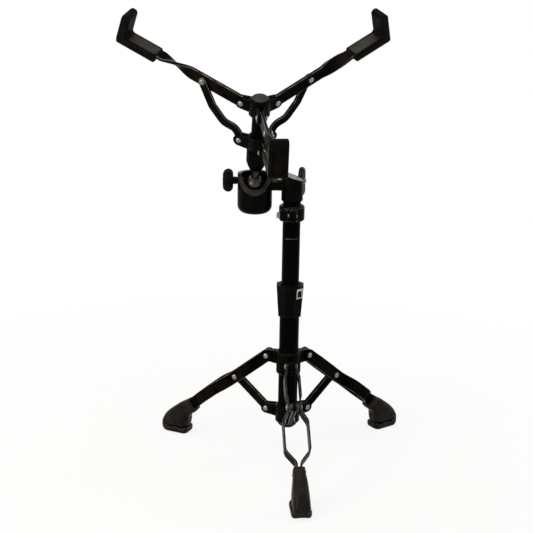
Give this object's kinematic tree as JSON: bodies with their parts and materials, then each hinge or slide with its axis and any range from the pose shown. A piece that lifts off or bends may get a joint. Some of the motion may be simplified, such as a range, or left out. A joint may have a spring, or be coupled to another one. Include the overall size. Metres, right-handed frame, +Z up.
{
  "type": "snare drum stand",
  "caption": "Folding tripod drum stand with a sliding tube, a ball tilter and a tilting basket of twisted arms with rubber grips that close on a snare drum.",
  "frame": {"origin": "on the floor, in the middle of the box around the whole stand as it rests", "axes": "+Z up, -Y to the front, where the picture is taken from, +X to the right of the picture"},
  "size_m": [0.4178, 0.4035, 0.657],
  "materials": {
    "black_enamel": "gloss black enamel on flat steel bar",
    "black_tube": "gloss black enamel on steel tube",
    "black_casting": "satin black enamel on die castings",
    "wing_black": "black enamel with a brown tone on cast wings",
    "satin_nickel": "satin nickel on rivets and screws",
    "bare_steel": "bare turned steel",
    "black_rubber": "matt black moulded rubber",
    "black_plastic": "matt black moulded plastic",
    "pale_plate": "bare satin plate"
  },
  "bodies": {
    "base": {"lower_tube": "black_tube", "tube_end_plug": "black_plastic", "tube_collar": "black_casting", "collar_bushing": "black_plastic", "collar_plate": "pale_plate", "lower_bracket": "black_casting", "bracket_rivets": "satin_nickel"},
    "strut_front": {"leg_strut_front": "black_enamel"},
    "leg_front": {"leg_bar_front_a": "black_enamel", "leg_bar_front_b": "black_enamel", "leg_rivet_front": "satin_nickel", "leg_spacers_front": "satin_nickel", "foot_front": "black_rubber"},
    "strut_right": {"leg_strut_right": "black_enamel"},
    "leg_right": {"leg_bar_right_a": "black_enamel", "leg_bar_right_b": "black_enamel", "leg_rivet_right": "satin_nickel", "leg_spacers_right": "satin_nickel", "foot_right": "black_rubber"},
    "strut_left": {"leg_strut_left": "black_enamel"},
    "leg_left": {"leg_bar_left_a": "black_enamel", "leg_bar_left_b": "black_enamel", "leg_rivet_left": "satin_nickel", "leg_spacers_left": "satin_nickel", "foot_left": "black_rubber"},
    "leg_hub": {"leg_hub": "black_casting", "hub_rivets": "satin_nickel"},
    "hub_wing_bolt": {"hub_wing_bolt": "wing_black"},
    "height_wing_bolt": {"height_wing_bolt": "wing_black"},
    "upper_tube": {"upper_tube": "black_tube"},
    "memory_lock": {"memory_lock": "black_casting", "memory_lock_screw": "satin_nickel"},
    "tilter_post": {"tilter_post": "black_casting"},
    "tilter_wing_bolt": {"tilter_wing_bolt": "wing_black"},
    "cup": {"ball_cup": "black_casting", "ball_seat": "black_plastic"},
    "ball_knob": {"ball_knob": "black_plastic"},
    "ball": {"basket_ball": "bare_steel"},
    "column": {"basket_column": "black_tube", "basket_hub": "black_casting", "hub_cap": "black_plastic", "basket_hub_rivets": "satin_nickel"},
    "slider": {"basket_slider": "black_casting", "slider_rivets": "satin_nickel"},
    "adjusting_nut": {"adjusting_nut": "black_plastic"},
    "arm_front": {"arm_front": "black_enamel", "arm_rivet_front": "satin_nickel", "grip_front": "black_rubber"},
    "basket_strut_front": {"basket_strut_front": "black_enamel"},
    "arm_right": {"arm_right": "black_enamel", "arm_rivet_right": "satin_nickel", "grip_right": "black_rubber"},
    "basket_strut_right": {"basket_strut_right": "black_enamel"},
    "arm_left": {"arm_left": "black_enamel", "arm_rivet_left": "satin_nickel", "grip_left": "black_rubber"},
    "basket_strut_left": {"basket_strut_left": "black_enamel"}
  },
  "joints": [
    {"name": "leg_fold", "type": "hinge", "parent": "base", "child": "strut_front", "pos_m": [0.0355, 0.03451, 0.0687], "axis": [-0.9943, -0.1063, 0], "range_deg": [-6, 44]},
    {"name": "leg_turn_front", "type": "hinge", "parent": "strut_front", "child": "leg_front", "pos_m": [0.04087, -0.01575, 0.11067], "axis": [-0.9943, -0.1063, 0], "range_deg": [-88, 12]},
    {"name": "strut_fold_right", "type": "hinge", "parent": "base", "child": "strut_right", "pos_m": [0.05894, 0.0874, 0.0687], "axis": [0.5892, -0.808, 0], "range_deg": [-6, 44]},
    {"name": "leg_turn_right", "type": "hinge", "parent": "strut_right", "child": "leg_right", "pos_m": [0.09978, 0.11719, 0.11067], "axis": [0.5892, -0.808, 0], "range_deg": [-88, 12]},
    {"name": "strut_fold_left", "type": "hinge", "parent": "base", "child": "strut_left", "pos_m": [0.00141, 0.08125, 0.0687], "axis": [0.4051, 0.9143, 0], "range_deg": [-6, 44]},
    {"name": "leg_turn_left", "type": "hinge", "parent": "strut_left", "child": "leg_left", "pos_m": [-0.0448, 0.10173, 0.11067], "axis": [0.4051, 0.9143, 0], "range_deg": [-88, 12]},
    {"name": "hub_rise", "type": "hinge", "parent": "leg_front", "child": "leg_hub", "pos_m": [0.0355, 0.03451, 0.15263], "axis": [-0.9943, -0.1063, 0], "range_deg": [-6, 44]},
    {"name": "hub_bolt_turn", "type": "hinge", "parent": "leg_hub", "child": "hub_wing_bolt", "pos_m": [0.02929, 0.09258, 0.14663], "axis": [-0.1063, 0.9943, 0], "continuous": true},
    {"name": "height_bolt_turn", "type": "hinge", "parent": "base", "child": "height_wing_bolt", "pos_m": [0.03195, 0.09272, 0.24115], "axis": [0, 1, 0], "continuous": true},
    {"name": "height_slide", "type": "slide", "parent": "base", "child": "upper_tube", "axis": [0, 0, 1], "range_m": [-0.085, 0.07]},
    {"name": "lock_turn", "type": "hinge", "parent": "upper_tube", "child": "memory_lock", "pos_m": [0.03195, 0.06772, 0.3735], "axis": [0, 0, 1], "continuous": true},
    {"name": "post_swivel", "type": "hinge", "parent": "upper_tube", "child": "tilter_post", "pos_m": [0.03195, 0.06772, 0.388], "axis": [0, 0, 1], "continuous": true},
    {"name": "tilter_bolt_turn", "type": "hinge", "parent": "tilter_post", "child": "tilter_wing_bolt", "pos_m": [0.0412, 0.08374, 0.414], "axis": [0.5, 0.866, 0], "continuous": true},
    {"name": "tilt", "type": "hinge", "parent": "tilter_post", "child": "cup", "pos_m": [0.03195, 0.06772, 0.414], "axis": [1, 0, 0], "range_deg": [-40, 25]},
    {"name": "knob_turn", "type": "hinge", "parent": "cup", "child": "ball_knob", "pos_m": [-0.02085, 0.06772, 0.4186], "axis": [-1, 0, 0], "continuous": true},
    {"name": "ball_lean", "type": "hinge", "parent": "cup", "child": "ball", "pos_m": [-0.02085, 0.06772, 0.414], "axis": [0, 0.9063, 0.4226], "range_deg": [-12, 12]},
    {"name": "basket_turn", "type": "hinge", "parent": "ball", "child": "column", "pos_m": [-0.02085, 0.06772, 0.414], "axis": [0.0506, -0.4221, 0.9051], "continuous": true},
    {"name": "basket_close", "type": "slide", "parent": "column", "child": "slider", "axis": [0.0506, -0.4221, 0.9051], "range_m": [0, 0.02159]},
    {"name": "nut_turn", "type": "hinge", "parent": "slider", "child": "adjusting_nut", "pos_m": [-0.0172, 0.03729, 0.47926], "axis": [0.0506, -0.4221, 0.9051], "continuous": true},
    {"name": "arm_swing_front", "type": "hinge", "parent": "column", "child": "arm_front", "pos_m": [-0.01113, -0.01029, 0.5207], "axis": [-0.9913, -0.1317, -0.006], "range_deg": [-0.01, 50.01]},
    {"name": "basket_strut_turn_front", "type": "hinge", "parent": "arm_front", "child": "basket_strut_front", "pos_m": [-0.0033, -0.0688, 0.51055], "axis": [-0.9913, -0.1317, -0.006], "range_deg": [-27.46, 0.01]},
    {"name": "arm_swing_right", "type": "hinge", "parent": "column", "child": "arm_right", "pos_m": [0.00631, 0.02737, 0.53729], "axis": [0.601, -0.7109, -0.3651], "range_deg": [-0.01, 50.01]},
    {"name": "basket_strut_turn_right", "type": "hinge", "parent": "arm_right", "child": "basket_strut_right", "pos_m": [0.05317, 0.05314, 0.56426], "axis": [0.601, -0.7109, -0.3651], "range_deg": [-27.46, 0.01]},
    {"name": "arm_swing_left", "type": "hinge", "parent": "column", "child": "arm_left", "pos_m": [-0.03799, 0.02148, 0.53702], "axis": [0.3902, 0.8426, 0.3711], "range_deg": [-0.01, 50.01]},
    {"name": "basket_strut_turn_left", "type": "hinge", "parent": "arm_left", "child": "basket_strut_left", "pos_m": [-0.09028, 0.03408, 0.56339], "axis": [0.3902, 0.8426, 0.3711], "range_deg": [-27.46, 0.01]}
  ],
  "couplings": [
    {"joint": "leg_turn_front", "follows": "leg_fold", "ratio": -2},
    {"joint": "strut_fold_right", "follows": "leg_fold", "ratio": 1},
    {"joint": "leg_turn_right", "follows": "leg_fold", "ratio": -2},
    {"joint": "strut_fold_left", "follows": "leg_fold", "ratio": 1},
    {"joint": "leg_turn_left", "follows": "leg_fold", "ratio": -2},
    {"joint": "hub_rise", "follows": "leg_fold", "ratio": 1},
    {"joint": "nut_turn", "follows": "basket_close", "rad_per_m": 1570.8},
    {"joint": "arm_swing_front", "follows": "basket_close", "rad_per_m": 40.416},
    {"joint": "basket_strut_turn_front", "follows": "basket_close", "rad_per_m": -22.187},
    {"joint": "arm_swing_right", "follows": "basket_close", "rad_per_m": 40.416},
    {"joint": "basket_strut_turn_right", "follows": "basket_close", "rad_per_m": -22.187},
    {"joint": "arm_swing_left", "follows": "basket_close", "rad_per_m": 40.416},
    {"joint": "basket_strut_turn_left", "follows": "basket_close", "rad_per_m": -22.187}
  ]
}
